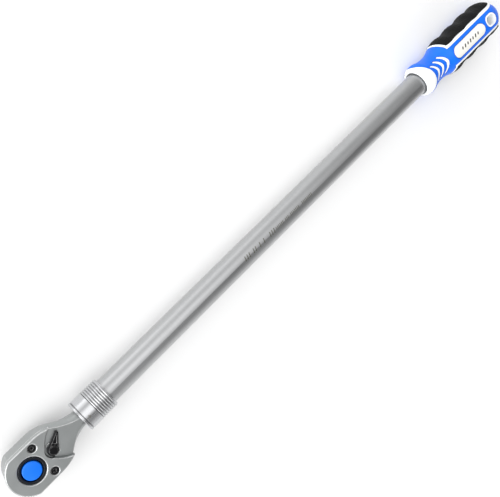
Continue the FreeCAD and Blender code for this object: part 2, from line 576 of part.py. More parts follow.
def makeSleeve():
    """Ribbed sleeve: a cone inside frees the lock balls when it is drawn back towards the grip."""
    land = "tubeRadius + %g" % fit
    freed = land + " + lockRise"
    pocketFront = "lockX - sleeveTravel - lockBall + 0.4"
    counterbore = "tubeRadius + 1.1"
    inside = [("sleeveEnd - 0.4", counterbore), ("lockX + 5.5", counterbore), ("lockX + 5.5", land),
              ("lockX", land), ("lockX - sleeveTravel", freed), (pocketFront, freed), (pocketFront, land),
              ("sleeveStart + 4.3", land), ("sleeveStart + 4.3", counterbore),
              ("sleeveStart + 0.4", counterbore), ("sleeveStart", counterbore + " + 0.4")]
    crest = "sleeveRadius"
    dip = "sleeveRadius - 0.6"
    ribStart = "(sleeveEnd - 0.5 - %d * ribPitch)" % sleeveRibs
    outside = [("sleeveStart", crest + " - 0.5"), ("sleeveStart + 0.5", crest), ("sleeveStart + 1.9", crest),
               ("sleeveStart + 2.1", dip), ("sleeveStart + 2.6", dip), ("sleeveStart + 2.8", crest + " - 0.1"),
               (ribStart + " - 0.5", crest + " - 0.1")]
    arcs = {}
    for rib in range(sleeveRibs):
        start = "%s + %d * ribPitch" % (ribStart, rib)
        outside.append((start, dip))
        arcs[len(inside) + len(outside) - 1] = "-((ribPitch - 0.4) / 2 + 0.06)"
        outside.append((start + " + ribPitch - 0.4", dip))
    outside.append(("sleeveEnd - 0.5", dip))
    outside += [("sleeveEnd", "sleeveRadius - 1")]
    return node("lock_sleeve", turned("lockSleeve", inside + outside, arcs, at=(0, 0, "barAxis")))


# --- grip --------------------------------------------------------------------------------------------------------

noseCrest = "gripStart + 7.7"
waistStart = "gripStart + 10.2"
waistEnd = "gripStart + 39.2"
bodyStart = "gripStart + 43.9"
tailStart = "(gripEnd - 17.5)"


def gripRound(name, inset):
    """The grip's outside as a round body, grown by a negative inset: nose, waist, straight part, tail."""
    corners = [("gripStart", "9"), ("gripStart", "12.9 - (%s)" % inset), (noseCrest, "16.5 - (%s)" % inset),
               (waistStart, "16.2 - (%s)" % inset), (waistEnd, "17.1 - (%s)" % inset),
               (bodyStart, "gripRadius - (%s)" % inset), (tailStart, "gripRadius - (%s)" % inset),
               ("gripEnd - 3.6 - (%s) / 2" % inset, "11.6 - (%s)" % inset), ("gripEnd - (%s)" % inset, "5.2"),
               ("gripEnd - (%s)" % inset, 0), ("gripEnd - 40", 0), ("gripEnd - 40", "9")]
    arcs = {1: -8.5, 3: 38, 4: -12, 6: -26, 7: -8}
    return turned(name, corners, arcs)


def padRound(name):
    """The pads' outside: a straight body with finger bumps, before it is trimmed to the sides."""
    quarter = "fingerPitch / 4"
    bump = "((%s)^2 + 0.7^2) / (2 * 0.7)" % "fingerPitch / 4"
    first = "(padStart + 1)"
    corners = [("padStart - 4", "10"), ("padStart - 4", "gripRadius - 1"), (first, "gripRadius")]
    arcs = {}
    for wave in range(6):
        arcs[len(corners) - 1] = ("-" if wave % 2 == 0 else "") + "(%s)" % bump
        corners.append(("%s + %d * 2 * %s" % (first, wave + 1, quarter), "gripRadius"))
    arcs[len(corners) - 1] = -24
    corners += [("gripEnd - 3.6", "12.4"), ("gripEnd - 3.6", "10")]
    return turned(name, corners, arcs)


def racetrack(name, middle, long, wide, lift, high):
    """A straight-sided oval raised upwards."""
    half = "(%s) / 2" % wide
    straight = "((%s) - (%s)) / 2" % (long, wide)
    corners = [("%s - %s" % (middle, straight), "-" + half), ("%s + %s" % (middle, straight), "-" + half),
               ("%s + %s" % (middle, straight), half), ("%s - %s" % (middle, straight), half)]
    return padded(name, corners, {1: half + " + 0.001", 3: half + " + 0.001"}, lift, high)


def chevron(name, index, lift, high):
    """One of the V-shaped ribs in front of the name panel, its point towards the hanging hole."""
    tip = "gripStart + %g" % (20.2 + 6.9 * index)
    arm = 8.2 + 0.5 * index
    back = 7.0
    thick = 3.0
    end = 1.3
    corners = [(tip, 0), ("%s - %g" % (tip, back), arm), ("%s - %g" % (tip, back + end), arm - 0.6),
               ("%s - %g" % (tip, thick), 0), ("%s - %g" % (tip, back + end), -arm + 0.6),
               ("%s - %g" % (tip, back), -arm)]
    return padded(name, corners, {0: 12, 2: -12, 3: -12, 5: 12}, lift, high)


def taller(name, item):
    """The grip is made round and then stretched upwards, so that it is oval."""
    scaled = doc.addObject("Part::Scale", name)
    scaled.Base = item
    scaled.Uniform = False
    scaled.XScale = 1
    scaled.YScale = 1
    return bind(scaled, ZScale="gripTall")


def makeGrip():
    """White core, blue shell and two black pads moulded over each other, and an inlaid panel on each face."""
    far = 60
    whole = gripRound("gripWhole", "0")
    inner = gripRound("gripInner", "skin")
    layer = cut("gripLayer", whole, [inner])
    bands = box("gripBands", "gripEnd - gripStart", "2 * bandHalf", 2 * far, ("gripStart + 24", "-bandHalf", -far))
    leanOut = "padRake * (%d - padEdge)" % far
    collarEnd = "padStart - strip"
    collar = padded("gripCollar", [
        ("gripStart", -far), ("%s - %s" % (collarEnd, leanOut), -far), (collarEnd, "-padEdge"),
        (collarEnd, "padEdge"), ("%s - %s" % (collarEnd, leanOut), far), ("gripStart", far)], None, -far, 2 * far)
    waistMiddle = "gripStart + noseEdge + noseCurve"
    waist = cylinder("gripWaist", "noseCurve", 2 * far, (waistMiddle, far, 0),
                     FreeCAD.Rotation(vector(1, 0, 0), 90))
    behindWaist = box("behindWaist", 2 * far, 2 * far, 2 * far, (waistMiddle, -far, -far))
    front = common("blueFront", [collar, fuse("blueReach", [waist, behindWaist])])
    blueRegion = fuse("blueRegion", [bands, front])
    windows = [racetrack("panelWindow", "panelX", "panelLong", "panelWide", -far, 2 * far),
               racetrack("eyeWindow", "eyeX", "eyeLong + 2 * eyeWall", "eyeWide + 2 * eyeWall", -far, 2 * far)]
    windows += [chevron("chevronWindow%d" % index, index, -far, 2 * far) for index in range(chevrons)]
    hole = racetrack("eyeHole", "eyeX", "eyeLong", "eyeWide", -far, 2 * far)
    blue = cut("blueRound", common("blueLayer", [layer, blueRegion]), windows)
    padEnd = "gripEnd - 5"
    padSides = {}
    for side, name in ((1, "Left"), (-1, "Right")):
        corners = [("padStart", "padEdge"), (padEnd, "padEdge"), (padEnd, far), ("padStart - " + leanOut, far)]
        if side < 0:
            corners = [(x, "-(%s)" % y) for x, y in reversed(corners)]
        padSides[name] = padded("padSide" + name, corners, None, -far, 2 * far)
    padWhole = padRound("padWhole")
    padCore = gripRound("padCore", "skin + 0.6")
    for name, region in padSides.items():
        pad = cut("pad%sRound" % name, common("pad%sBlank" % name, [padWhole, region]), [padCore])
        stretched = taller("gripPad" + name, pad)
        node("grip_pad_" + name.lower(), place(stretched, (0, 0, "barAxis")))
    padLayer = cut("padLayer", fuse("padRegion", [
        common("padSeat" + name, [gripRound("padSeatRound" + name, "-2"), region])
        for name, region in padSides.items()]), [padCore])
    plateRaised = gripRound("panelRound", "-0.3")
    panelFloor = gripRound("panelFloor", "skin - 0.3")
    panelWhole = cut("panelWhole", common("panelBlank", [plateRaised, racetrack(
        "panelShape", "panelX", "panelLong - 0.5", "panelWide - 0.5", -far, 2 * far)]), [panelFloor])
    for side, name in ((1, "top"), (-1, "bottom")):
        half = box("panelHalf" + name, "gripEnd", 2 * far, far, (0, -far, 0 if side > 0 else -far))
        panel = common("panel" + name.capitalize(), [panelWhole, half])
        node("name_panel_" + name, place(taller("namePanel" + name.capitalize(), panel), (0, 0, "barAxis")))
    panelSeat = common("panelSeat", [cut("panelSeatLayer", gripRound("panelSeatRound", "-2"), [panelFloor]),
                                     windows[0]])
    shell = taller("gripShell", cut("shellRound", blue, [hole]))
    node("handle_shell", place(shell, (0, 0, "barAxis")))
    coreRound = cut("coreRound", whole, [blue, padLayer, panelSeat, hole])
    coreTall = place(taller("coreTall", coreRound), (0, 0, "barAxis"))
    bore = cylinder("gripBore", "tubeRadius", "tubeEnd - gripStart + 1", ("gripStart - 1", 0, "barAxis"), alongX)
    mouth = cone("gripMouth", "tubeRadius + 1.4", "tubeRadius", 7, ("gripStart - 0.1", 0, "barAxis"), alongX)
    node("handle_core", cut("handleCore", coreTall, [bore, mouth]))


# --- build, check and write --------------------------------------------------------------------------------------

makeHeadForging()
makeCoverPlate()
makeHeadHardware()
makeDriveGear()
makeQuickRelease()
makeLever()
makePawl()
makeTube()
makeLock()
makeSleeve()
makeGrip()
doc.recompute()

faults = ["%s is %s" % (item.Name, item.State) for item in doc.Objects
          if "Invalid" in item.State or "Error" in item.State]
for label, item in nodes.items():
    if item.Shape.isNull() or not item.Shape.isValid() or not item.Shape.Solids:
        faults.append("%s has no valid solid" % label)
if faults:
    raise RuntimeError("; ".join(faults))

os.makedirs("parts", exist_ok=True)
for label, item in nodes.items():
    item.Shape.exportStep(os.path.join("parts", label + ".step"))
    print("%-20s %2d solids %9.1f mm3" % (label, len(item.Shape.Solids), item.Shape.Volume))
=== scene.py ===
import bpy
import math
import random
from mathutils import Matrix, Vector, noise
from mathutils.bvhtree import BVHTree


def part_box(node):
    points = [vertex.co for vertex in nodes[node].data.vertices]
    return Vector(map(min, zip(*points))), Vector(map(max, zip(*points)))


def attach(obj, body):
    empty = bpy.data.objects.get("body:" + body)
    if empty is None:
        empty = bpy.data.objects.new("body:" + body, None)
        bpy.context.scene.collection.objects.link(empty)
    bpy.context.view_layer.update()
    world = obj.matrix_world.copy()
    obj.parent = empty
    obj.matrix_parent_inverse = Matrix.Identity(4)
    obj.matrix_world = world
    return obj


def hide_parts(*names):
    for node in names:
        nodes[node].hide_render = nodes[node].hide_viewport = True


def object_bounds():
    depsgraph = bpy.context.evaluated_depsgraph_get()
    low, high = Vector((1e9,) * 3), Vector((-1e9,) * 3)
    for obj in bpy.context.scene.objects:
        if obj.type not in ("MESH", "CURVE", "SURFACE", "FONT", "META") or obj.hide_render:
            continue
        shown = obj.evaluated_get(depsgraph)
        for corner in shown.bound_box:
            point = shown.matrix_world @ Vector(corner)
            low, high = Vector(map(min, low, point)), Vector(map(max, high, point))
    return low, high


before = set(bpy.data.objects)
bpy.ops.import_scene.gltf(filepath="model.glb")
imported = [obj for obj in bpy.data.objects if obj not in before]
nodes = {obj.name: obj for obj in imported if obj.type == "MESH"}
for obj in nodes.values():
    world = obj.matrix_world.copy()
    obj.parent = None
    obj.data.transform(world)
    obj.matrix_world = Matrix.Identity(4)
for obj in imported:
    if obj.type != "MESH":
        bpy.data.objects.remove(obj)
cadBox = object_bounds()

# Ratcheting extension breaker bar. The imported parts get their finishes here, and the printed and etched marks
# and the moulded rubber are added to them. Metres, +X along the bar from the drive to the grip, +Z is the
# lever's side.

mm = 0.001
barAxis = (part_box("outer_tube")[0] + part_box("outer_tube")[1]) / 2     # only its y and z are used


# Small helpers

# sRGB hex to the linear colour that the shaders take
def linear(hexColour):
    parts = [int(hexColour.lstrip("#")[i:i + 2], 16) / 255 for i in (0, 2, 4)]
    return tuple(p / 12.92 if p <= 0.04045 else ((p + 0.055) / 1.055) ** 2.4 for p in parts) + (1.0,)


# the span that a noise texture's values mostly fall in
noiseSpan = {"From Min": 0.3, "From Max": 0.7}


# adds a node, sets its properties, and sets or links its inputs by name or number
def addNode(tree, kind, inputs=None, **settings):
    made = tree.nodes.new("ShaderNode" + kind)
    for name, value in settings.items():
        setattr(made, name, value)
    for name, value in (inputs or {}).items():
        if isinstance(value, bpy.types.NodeSocket):
            tree.links.new(value, made.inputs[name])
        else:
            made.inputs[name].default_value = value
    return made


def newMaterial(name):
    material = bpy.data.materials.new(name)
    material.use_nodes = True
    material.node_tree.nodes.clear()
    return material, material.node_tree


def finishMaterial(tree, shader):
    addNode(tree, "OutputMaterial", {"Surface": shader.outputs["BSDF"]})


# the piece's own coordinates, divided by a period in mm along each axis
def stretchedPlace(tree, period):
    place = addNode(tree, "TexCoord")
    scale = tuple(1 / (p * mm) for p in period)
    return addNode(tree, "Mapping", {"Vector": place.outputs["Object"], "Scale": scale}).outputs["Vector"]


# how far the rounded normal leans from the flat one, as a cosine, where the wear, painted highlight and painted
# shade on an edge start and are full
edgeSpan = {"From Min": 0.998, "From Max": 0.9}


# the rounded normal of edges broken by hand or tumbling, and a mask that is 1 on them
def softEdges(tree, radiusMm):
    rounded = addNode(tree, "Bevel", {"Radius": radiusMm * mm}, samples=6)
    flat = addNode(tree, "NewGeometry")
    likeness = addNode(tree, "VectorMath", {0: rounded.outputs["Normal"], 1: flat.outputs["Normal"]},
                       operation="DOT_PRODUCT")
    mask = addNode(tree, "MapRange", {"Value": likeness.outputs["Value"], **edgeSpan, "To Min": 0.0,
                                      "To Max": 1.0}, interpolation_type="SMOOTHSTEP")
    return rounded.outputs["Normal"], mask.outputs["Result"]


# Metal finishes

satinChrome = {"colour": "#A3A6A6", "wornAndHighlight": "#FFFFFF", "roughness": 0.36, "edgeRoughness": 0.14,
               "gritMm": 0.35, "gritDepthMm": 0.05, "cloudMm": 14, "edgeMm": 0.9}


# Satin chrome plate on a forging that was bead blasted: a pearly grey sheen with no clear reflections, and a
# fine grit; the edges are painted white, partly metal rubbed bright and partly a painted highlight.
def makeSatinChrome():
    material, tree = newMaterial("satin_chrome_on_blasted_forging")
    grit = addNode(tree, "TexNoise", {"Vector": stretchedPlace(tree, [satinChrome["gritMm"]] * 3),
                                      "Scale": 1.0, "Detail": 3.0, "Roughness": 0.6})
    cloud = addNode(tree, "TexNoise", {"Vector": stretchedPlace(tree, [satinChrome["cloudMm"]] * 3),
                                       "Scale": 1.0, "Detail": 4.0, "Roughness": 0.55})
    normal, edge = softEdges(tree, satinChrome["edgeMm"])
    patchy = addNode(tree, "MapRange", {"Value": cloud.outputs["Fac"], **noiseSpan,
                                        "To Min": satinChrome["roughness"] - 0.05,
                                        "To Max": satinChrome["roughness"] + 0.06})
    rubbed = addNode(tree, "Mix", {"Factor": edge, "A": patchy.outputs["Result"],
                                    "B": satinChrome["edgeRoughness"]}, data_type="FLOAT")
    # the edge mask paints the colour white: rubbed metal and a painted highlight
    tint = addNode(tree, "Mix", {"Factor": edge, 6: linear(satinChrome["colour"]),
                                 7: linear(satinChrome["wornAndHighlight"])}, data_type="RGBA")
    bump = addNode(tree, "Bump", {"Height": grit.outputs["Fac"], "Strength": 0.12,
                                  "Distance": satinChrome["gritDepthMm"] * mm, "Normal": normal})
    shader = addNode(tree, "BsdfPrincipled", {"Base Color": tint.outputs[2], "Metallic": 1.0,
                                              "Roughness": rubbed.outputs[0],
                                              "Normal": bump.outputs["Normal"]})
    finishMaterial(tree, shader)
    return material


groundTube = {"colour": "#B6B7B8", "roughness": 0.34, "lineMm": 0.35, "aroundMm": 9, "lineDepthMm": 0.03,
              "streakMm": 60, "streakWideMm": 6, "edgeMm": 0.3}


# Drawn steel tube, centreless ground and satin plated: hair lines run round it, so that highlights smear
# along the tube, with slow patches from the plating bath.
def makeGroundTube():
    material, tree = newMaterial("satin_plate_on_ground_tube")
    fine, around = groundTube["lineMm"], groundTube["aroundMm"]
    streak, wide = groundTube["streakMm"], groundTube["streakWideMm"]
    lines = addNode(tree, "TexNoise", {"Vector": stretchedPlace(tree, [fine, around, around]),
                                       "Scale": 1.0, "Detail": 4.0, "Roughness": 0.7})
    streaks = addNode(tree, "TexNoise", {"Vector": stretchedPlace(tree, [streak, wide, wide]),
                                         "Scale": 1.0, "Detail": 5.0, "Roughness": 0.6})
    normal = softEdges(tree, groundTube["edgeMm"])[0]
    rough = addNode(tree, "MapRange", {"Value": streaks.outputs["Fac"], **noiseSpan,
                                       "To Min": groundTube["roughness"] - 0.04,
                                       "To Max": groundTube["roughness"] + 0.05})
    tint = addNode(tree, "MapRange", {"Value": lines.outputs["Fac"], **noiseSpan, "To Min": 0.93,
                                      "To Max": 1.03})
    colour = addNode(tree, "VectorMath", {0: linear(groundTube["colour"])[:3],
                                          "Scale": tint.outputs["Result"]}, operation="SCALE")
    bump = addNode(tree, "Bump", {"Height": lines.outputs["Fac"], "Strength": 0.16,
                                  "Distance": groundTube["lineDepthMm"] * mm, "Normal": normal})
    shader = addNode(tree, "BsdfPrincipled", {"Base Color": colour.outputs["Vector"], "Metallic": 1.0,
                                              "Roughness": rough.outputs["Result"],
                                              "Normal": bump.outputs["Normal"]})
    finishMaterial(tree, shader)
    return material


turnedChrome = {"colour": "#C2C3C5", "roughness": 0.17, "feedMm": 0.3, "feedDepthMm": 0.03,
                "feedAroundMm": 40, "filmMm": 5, "rootMm": 1.8, "rootShade": 0.22, "edgeMm": 0.25}


# Turned on a lathe and bright plated: crisp highlights on every rib, broken by the tool's fine rings, and
# painted shade that darkens the roots between the ribs.
def makeTurnedChrome():
    material, tree = newMaterial("bright_chrome_on_turned_steel")
    feed, around = turnedChrome["feedMm"], turnedChrome["feedAroundMm"]
    rings = addNode(tree, "TexNoise", {"Vector": stretchedPlace(tree, [feed, around, around]),
                                       "Scale": 1.0, "Detail": 2.0, "Roughness": 0.5})
    film = addNode(tree, "TexNoise", {"Vector": stretchedPlace(tree, [turnedChrome["filmMm"]] * 3),
                                      "Scale": 1.0, "Detail": 4.0})
    normal = softEdges(tree, turnedChrome["edgeMm"])[0]
    # ambient occlusion darkens the colour in the roots: painted shade
    hollow = addNode(tree, "AmbientOcclusion", {"Distance": turnedChrome["rootMm"] * mm}, samples=8)
    paintedRootShade = addNode(tree, "MapRange", {"Value": hollow.outputs["AO"], "From Min": 0.4, "From Max": 0.95,
                                      "To Min": turnedChrome["rootShade"], "To Max": 1.0})
    colour = addNode(tree, "VectorMath", {0: linear(turnedChrome["colour"])[:3],
                                          "Scale": paintedRootShade.outputs["Result"]}, operation="SCALE")
    rough = addNode(tree, "MapRange", {"Value": film.outputs["Fac"], **noiseSpan,
                                       "To Min": turnedChrome["roughness"] - 0.04,
                                       "To Max": turnedChrome["roughness"] + 0.08})
    bump = addNode(tree, "Bump", {"Height": rings.outputs["Fac"], "Strength": 0.2,
                                  "Distance": turnedChrome["feedDepthMm"] * mm, "Normal": normal})
    shader = addNode(tree, "BsdfPrincipled", {"Base Color": colour.outputs["Vector"], "Metallic": 1.0,
                                              "Roughness": rough.outputs["Result"],
                                              "Normal": bump.outputs["Normal"]})
    finishMaterial(tree, shader)
    return material


steels = {
    # black oxide: a thin blue-black film with an oily shine, bare steel on rubbed edges, painted light grey,
    # partly as a painted highlight
    "blackOxide": {"name": "black_oxide_on_steel", "colour": "#19191B", "wornAndHighlight": "#E2E2E2", "roughness": 0.33,
                   "grainMm": 0.3, "metallic": 0.8},
    # phosphate: a dull blue-grey crystal coat, oiled
    "phosphate": {"name": "oiled_phosphate_on_steel", "colour": "#2A2C31", "wornAndHighlight": "#7D8188",
                  "roughness": 0.4, "grainMm": 0.25, "metallic": 1.0},
    # ground tool steel: bright grey with a fine grain
    "toolSteel": {"name": "ground_tool_steel", "colour": "#A9AAAC", "wornAndHighlight": "#D8D8D8", "roughness": 0.24,
                  "grainMm": 0.2, "metallic": 1.0},
    # drawn spring wire: a duller grey than the ground steel
    "springWire": {"name": "drawn_spring_wire", "colour": "#8E9094", "wornAndHighlight": "#C8C8C8", "roughness": 0.3,
                   "grainMm": 0.2, "metallic": 1.0},
    # sintered bronze: warm, porous and dull
    "bronze": {"name": "sintered_bronze", "colour": "#B38A4E", "wornAndHighlight": "#D8B27A", "roughness": 0.45,
               "grainMm": 0.35, "metallic": 1.0},
}
steelDetail = {"toneMm": 6, "edgeMm": 0.3, "grainDepthMm": 0.04}


# small metal parts: grain and tone vary, and edges are painted brighter, partly rubbed metal and partly a
# painted highlight
def makeSteel(name, colour, wornAndHighlight, roughness, grainMm, metallic):
    material, tree = newMaterial(name)
    grain = addNode(tree, "TexNoise", {"Vector": stretchedPlace(tree, [grainMm] * 3), "Scale": 1.0,
                                       "Detail": 5.0, "Roughness": 0.65})
    tone = addNode(tree, "TexNoise", {"Vector": stretchedPlace(tree, [steelDetail["toneMm"]] * 3),
                                      "Scale": 1.0, "Detail": 3.0})
    normal, edge = softEdges(tree, steelDetail["edgeMm"])
    # edges, broken up by the tone noise, are painted the lighter colour: wear and a painted highlight
    chippedAndHighlight = addNode(tree, "Math", {0: edge, 1: tone.outputs["Fac"]}, operation="MULTIPLY",
                      use_clamp=True)
    tint = addNode(tree, "Mix", {"Factor": chippedAndHighlight.outputs[0], 6: linear(colour), 7: linear(wornAndHighlight)},
                   data_type="RGBA")
    rough = addNode(tree, "MapRange", {"Value": tone.outputs["Fac"], **noiseSpan,
                                       "To Min": roughness - 0.06, "To Max": roughness + 0.07})
    bump = addNode(tree, "Bump", {"Height": grain.outputs["Fac"], "Strength": 0.25,
                                  "Distance": steelDetail["grainDepthMm"] * mm, "Normal": normal})
    shader = addNode(tree, "BsdfPrincipled", {"Base Color": tint.outputs[2], "Metallic": metallic,
                                              "Roughness": rough.outputs["Result"],
                                              "Normal": bump.outputs["Normal"]})
    finishMaterial(tree, shader)
    return material


# Plastics and rubber

plastics = {
    # ABS button: polished mould, a saturated blue, its edges painted a lighter blue as a painted highlight
    "blueButton": {"name": "moulded_blue_abs", "colour": "#0073F0", "paintedEdgeShading": "#2F8CFF", "roughness": 0.34,
                   "grainMm": 0.5, "grainDepthMm": 0.02, "edgeMm": 0.35},
    # polypropylene shell over the core: spark-eroded satin, with painted shade along its borders
    "bluePolypropylene": {"name": "moulded_blue_polypropylene", "colour": "#006CF0", "paintedEdgeShading": "#04207A",
                          "roughness": 0.42, "grainMm": 0.45, "grainDepthMm": 0.05, "edgeMm": 1.2},
    # the core: white polypropylene, slightly translucent
    "whitePolypropylene": {"name": "moulded_white_polypropylene", "colour": "#F6F8FA", "paintedEdgeShading": "#E6ECF4",
                           "roughness": 0.42, "grainMm": 0.5, "grainDepthMm": 0.04, "edgeMm": 0.5,
                           "glow": 0.15},
    # panel: ivory ABS, finely grained for pad printing
    "ivoryAbs": {"name": "moulded_ivory_abs", "colour": "#F1EFE8", "paintedEdgeShading": "#DAD8D2", "roughness": 0.38,
                 "grainMm": 0.3, "grainDepthMm": 0.03, "edgeMm": 0.4},
}
plasticDetail = {"cloudMm": 18, "scatterMm": 1.0, "specular": 0.35}


# Injection moulded plastic: a satin skin with a spark-eroded grain, and another tone painted along its edges
# and where two shots meet: painted shade for the shadow of the fine groove there, on the button a painted
# highlight.
def makeMoulded(name, colour, paintedEdgeShading, roughness, grainMm, grainDepthMm, edgeMm, glow=0.0):
    material, tree = newMaterial(name)
    grain = addNode(tree, "TexNoise", {"Vector": stretchedPlace(tree, [grainMm] * 3), "Scale": 1.0,
                                       "Detail": 3.0, "Roughness": 0.55})
    cloud = addNode(tree, "TexNoise", {"Vector": stretchedPlace(tree, [plasticDetail["cloudMm"]] * 3),
                                       "Scale": 1.0, "Detail": 2.0})
    normal, edge = softEdges(tree, edgeMm)
    # the edge mask paints the edge colour: painted shade, lighter on the button as a painted highlight
    mixed = addNode(tree, "Mix", {"Factor": edge, 6: linear(colour), 7: linear(paintedEdgeShading)}, data_type="RGBA")
    value = addNode(tree, "MapRange", {"Value": cloud.outputs["Fac"], **noiseSpan, "To Min": 0.97,
                                       "To Max": 1.03})
    tint = addNode(tree, "HueSaturation", {"Color": mixed.outputs[2], "Value": value.outputs["Result"]})
    rough = addNode(tree, "MapRange", {"Value": cloud.outputs["Fac"], **noiseSpan,
                                       "To Min": roughness - 0.04, "To Max": roughness + 0.05})
    bump = addNode(tree, "Bump", {"Height": grain.outputs["Fac"], "Strength": 0.3,
                                  "Distance": grainDepthMm * mm, "Normal": normal})
    shader = addNode(tree, "BsdfPrincipled", {
        "Base Color": tint.outputs["Color"], "Roughness": rough.outputs["Result"], "IOR": 1.5,
        "Specular IOR Level": plasticDetail["specular"], "Subsurface Weight": glow,
        "Subsurface Radius": (plasticDetail["scatterMm"] * mm,) * 3, "Normal": bump.outputs["Normal"]})
    finishMaterial(tree, shader)
    return material


rubber = {"colour": "#050506", "light": "#111112", "roughness": 0.62, "grainMm": 0.5, "grainDepthMm": 0.12,
          "specular": 0.16}


# Thermoplastic rubber from a sand-textured mould: near black and dull, slightly paler where the grain is
# high.
def makeRubber():
    material, tree = newMaterial("moulded_black_rubber")
    grain = addNode(tree, "TexNoise", {"Vector": stretchedPlace(tree, [rubber["grainMm"]] * 3),
                                       "Scale": 1.0, "Detail": 5.0, "Roughness": 0.7})
    tint = addNode(tree, "Mix", {"Factor": grain.outputs["Fac"], 6: linear(rubber["colour"]),
                                 7: linear(rubber["light"])}, data_type="RGBA")
    rough = addNode(tree, "MapRange", {"Value": grain.outputs["Fac"], **noiseSpan,
                                       "To Min": rubber["roughness"] - 0.08,
                                       "To Max": rubber["roughness"] + 0.1})
    bump = addNode(tree, "Bump", {"Height": grain.outputs["Fac"], "Strength": 0.5,
                                  "Distance": rubber["grainDepthMm"] * mm})
    shader = addNode(tree, "BsdfPrincipled", {
        "Base Color": tint.outputs[2], "Roughness": rough.outputs["Result"], "IOR": 1.52,
        "Specular IOR Level": rubber["specular"], "Normal": bump.outputs["Normal"]})
    finishMaterial(tree, shader)
    return material


finishes = {"satinChrome": makeSatinChrome(), "groundTube": makeGroundTube(),
            "turnedChrome": makeTurnedChrome(), "rubber": makeRubber()}
finishes.update({finish: makeSteel(**row) for finish, row in steels.items()})
finishes.update({finish: makeMoulded(**row) for finish, row in plastics.items()})
print("finishes made:", len(finishes))


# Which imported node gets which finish
finishOf = {
    "satinChrome": ["head_forging", "cover_plate"],
    "groundTube": ["outer_tube"],
    "turnedChrome": ["lock_sleeve", "lock_barrel"],
    "blackOxide": ["reversing_lever", "cover_screws", "front_ring", "rear_ring", "bush_ring",
                   "lever_clip"],
    "phosphate": ["drive_gear"],
    "toolSteel": ["socket_ball", "lock_ball_1", "lock_ball_2", "lock_ball_3", "release_pin", "pawl",
                  "pawl_pin", "pawl_plunger"],
    "springWire": ["release_spring", "sleeve_spring", "plunger_spring"],
    "bronze": ["guide_bush"],
    "blueButton": ["release_button"],
    "bluePolypropylene": ["handle_shell"],
    "whitePolypropylene": ["handle_core", "tube_plug"],
    "ivoryAbs": ["name_panel_top", "name_panel_bottom"],
    "rubber": ["grip_pad_left", "grip_pad_right"],
}


def dress(piece, finish):
    piece.data.materials.clear()
    piece.data.materials.append(finishes[finish])


for finish, names in finishOf.items():
    for name in names:
        dress(nodes[name], finish)
print("packed nodes dressed:", sum(len(names) for names in finishOf.values()))


# Moulded rubber pads

padDetail = {"voxelMm": 0.42, "smoothing": 4, "smoothFactor": 0.5, "scaleMm": 2.6, "raiseMm": 0.16,
             "grooveWide": 0.28, "facingFrom": 0.6, "facingSpan": 0.3, "rimMm": 1.4, "rimPlain": 0.3,
             "roundMm": 18.1, "tall": 1.06, "levelMm": 4.5, "bumpGrowth": 1.5, "outsideMm": 1.0}


def clamped(value):
    return max(0.0, min(1.0, value))


# a pad is remeshed fine enough to hold its moulded skin of small raised scales, which fade out near its rim;
# roundMm and tall are the grip's radius and its height over its width
def makeRubberPad(name, side):
    source = nodes[name]
    piece = bpy.data.objects.new(name + "_skin", source.data.copy())
    bpy.context.scene.collection.objects.link(piece)
    remesh = piece.modifiers.new("remesh", "REMESH")
    remesh.mode = "VOXEL"
    remesh.voxel_size = padDetail["voxelMm"] * mm
    smooth = piece.modifiers.new("smooth", "SMOOTH")
    smooth.iterations = padDetail["smoothing"]
    smooth.factor = padDetail["smoothFactor"]
    evaluated = piece.evaluated_get(bpy.context.evaluated_depsgraph_get())
    mesh = bpy.data.meshes.new_from_object(evaluated)
    piece.modifiers.clear()
    piece.data = mesh
    low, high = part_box(name)
    rim = padDetail["rimMm"] * mm
    base = padDetail["roundMm"] * mm
    normals = [vertex.normal.copy() for vertex in mesh.vertices]
    for vertex, normal in zip(mesh.vertices, normals):
        place = vertex.co.copy()
        radial = Vector((0, place.y - barAxis.y, place.z - barAxis.z)).normalized()
        outward = clamped((normal.dot(radial) - padDetail["facingFrom"]) / padDetail["facingSpan"])
        inner = low.y if side > 0 else -high.y
        fromEdge = min(place.x - low.x, high.x - place.x, abs(place.y) - inner)
        fade = clamped(fromEdge / rim - padDetail["rimPlain"])
        around = math.atan2(place.y, place.z - barAxis.z) * barAxis.z
        tall = (place.z - barAxis.z) / padDetail["tall"]
        reach = math.hypot(place.y, tall)
        beside = clamped((abs(place.y) - inner) / (padDetail["levelMm"] * mm))
        if reach > base - padDetail["outsideMm"] * mm:      # finger bumps grow from the straight edge
            level = (base + (reach - base) * beside ** padDetail["bumpGrowth"]) / reach
            place.y *= level
            place.z = barAxis.z + (place.z - barAxis.z) * level
        spot = Vector((place.x, around, 0)) / (padDetail["scaleMm"] * mm)
        distances = noise.voronoi(spot)[0]
        groove = min(1.0, (distances[1] - distances[0]) / padDetail["grooveWide"])
        vertex.co = place + normal * (padDetail["raiseMm"] * mm * outward * fade * (groove - 1.0))
    for polygon in mesh.polygons:
        polygon.use_smooth = True
    mesh.update()
    dress(piece, "rubber")
    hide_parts(name)
    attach(piece, "bar")
    return piece


for name, side in (("grip_pad_left", 1), ("grip_pad_right", -1)):
    pad = makeRubberPad(name, side)
    print("rubber pad:", pad.name, len(pad.data.polygons), "faces")


# Marks that lie on a surface

strokeStepMm = 0.5


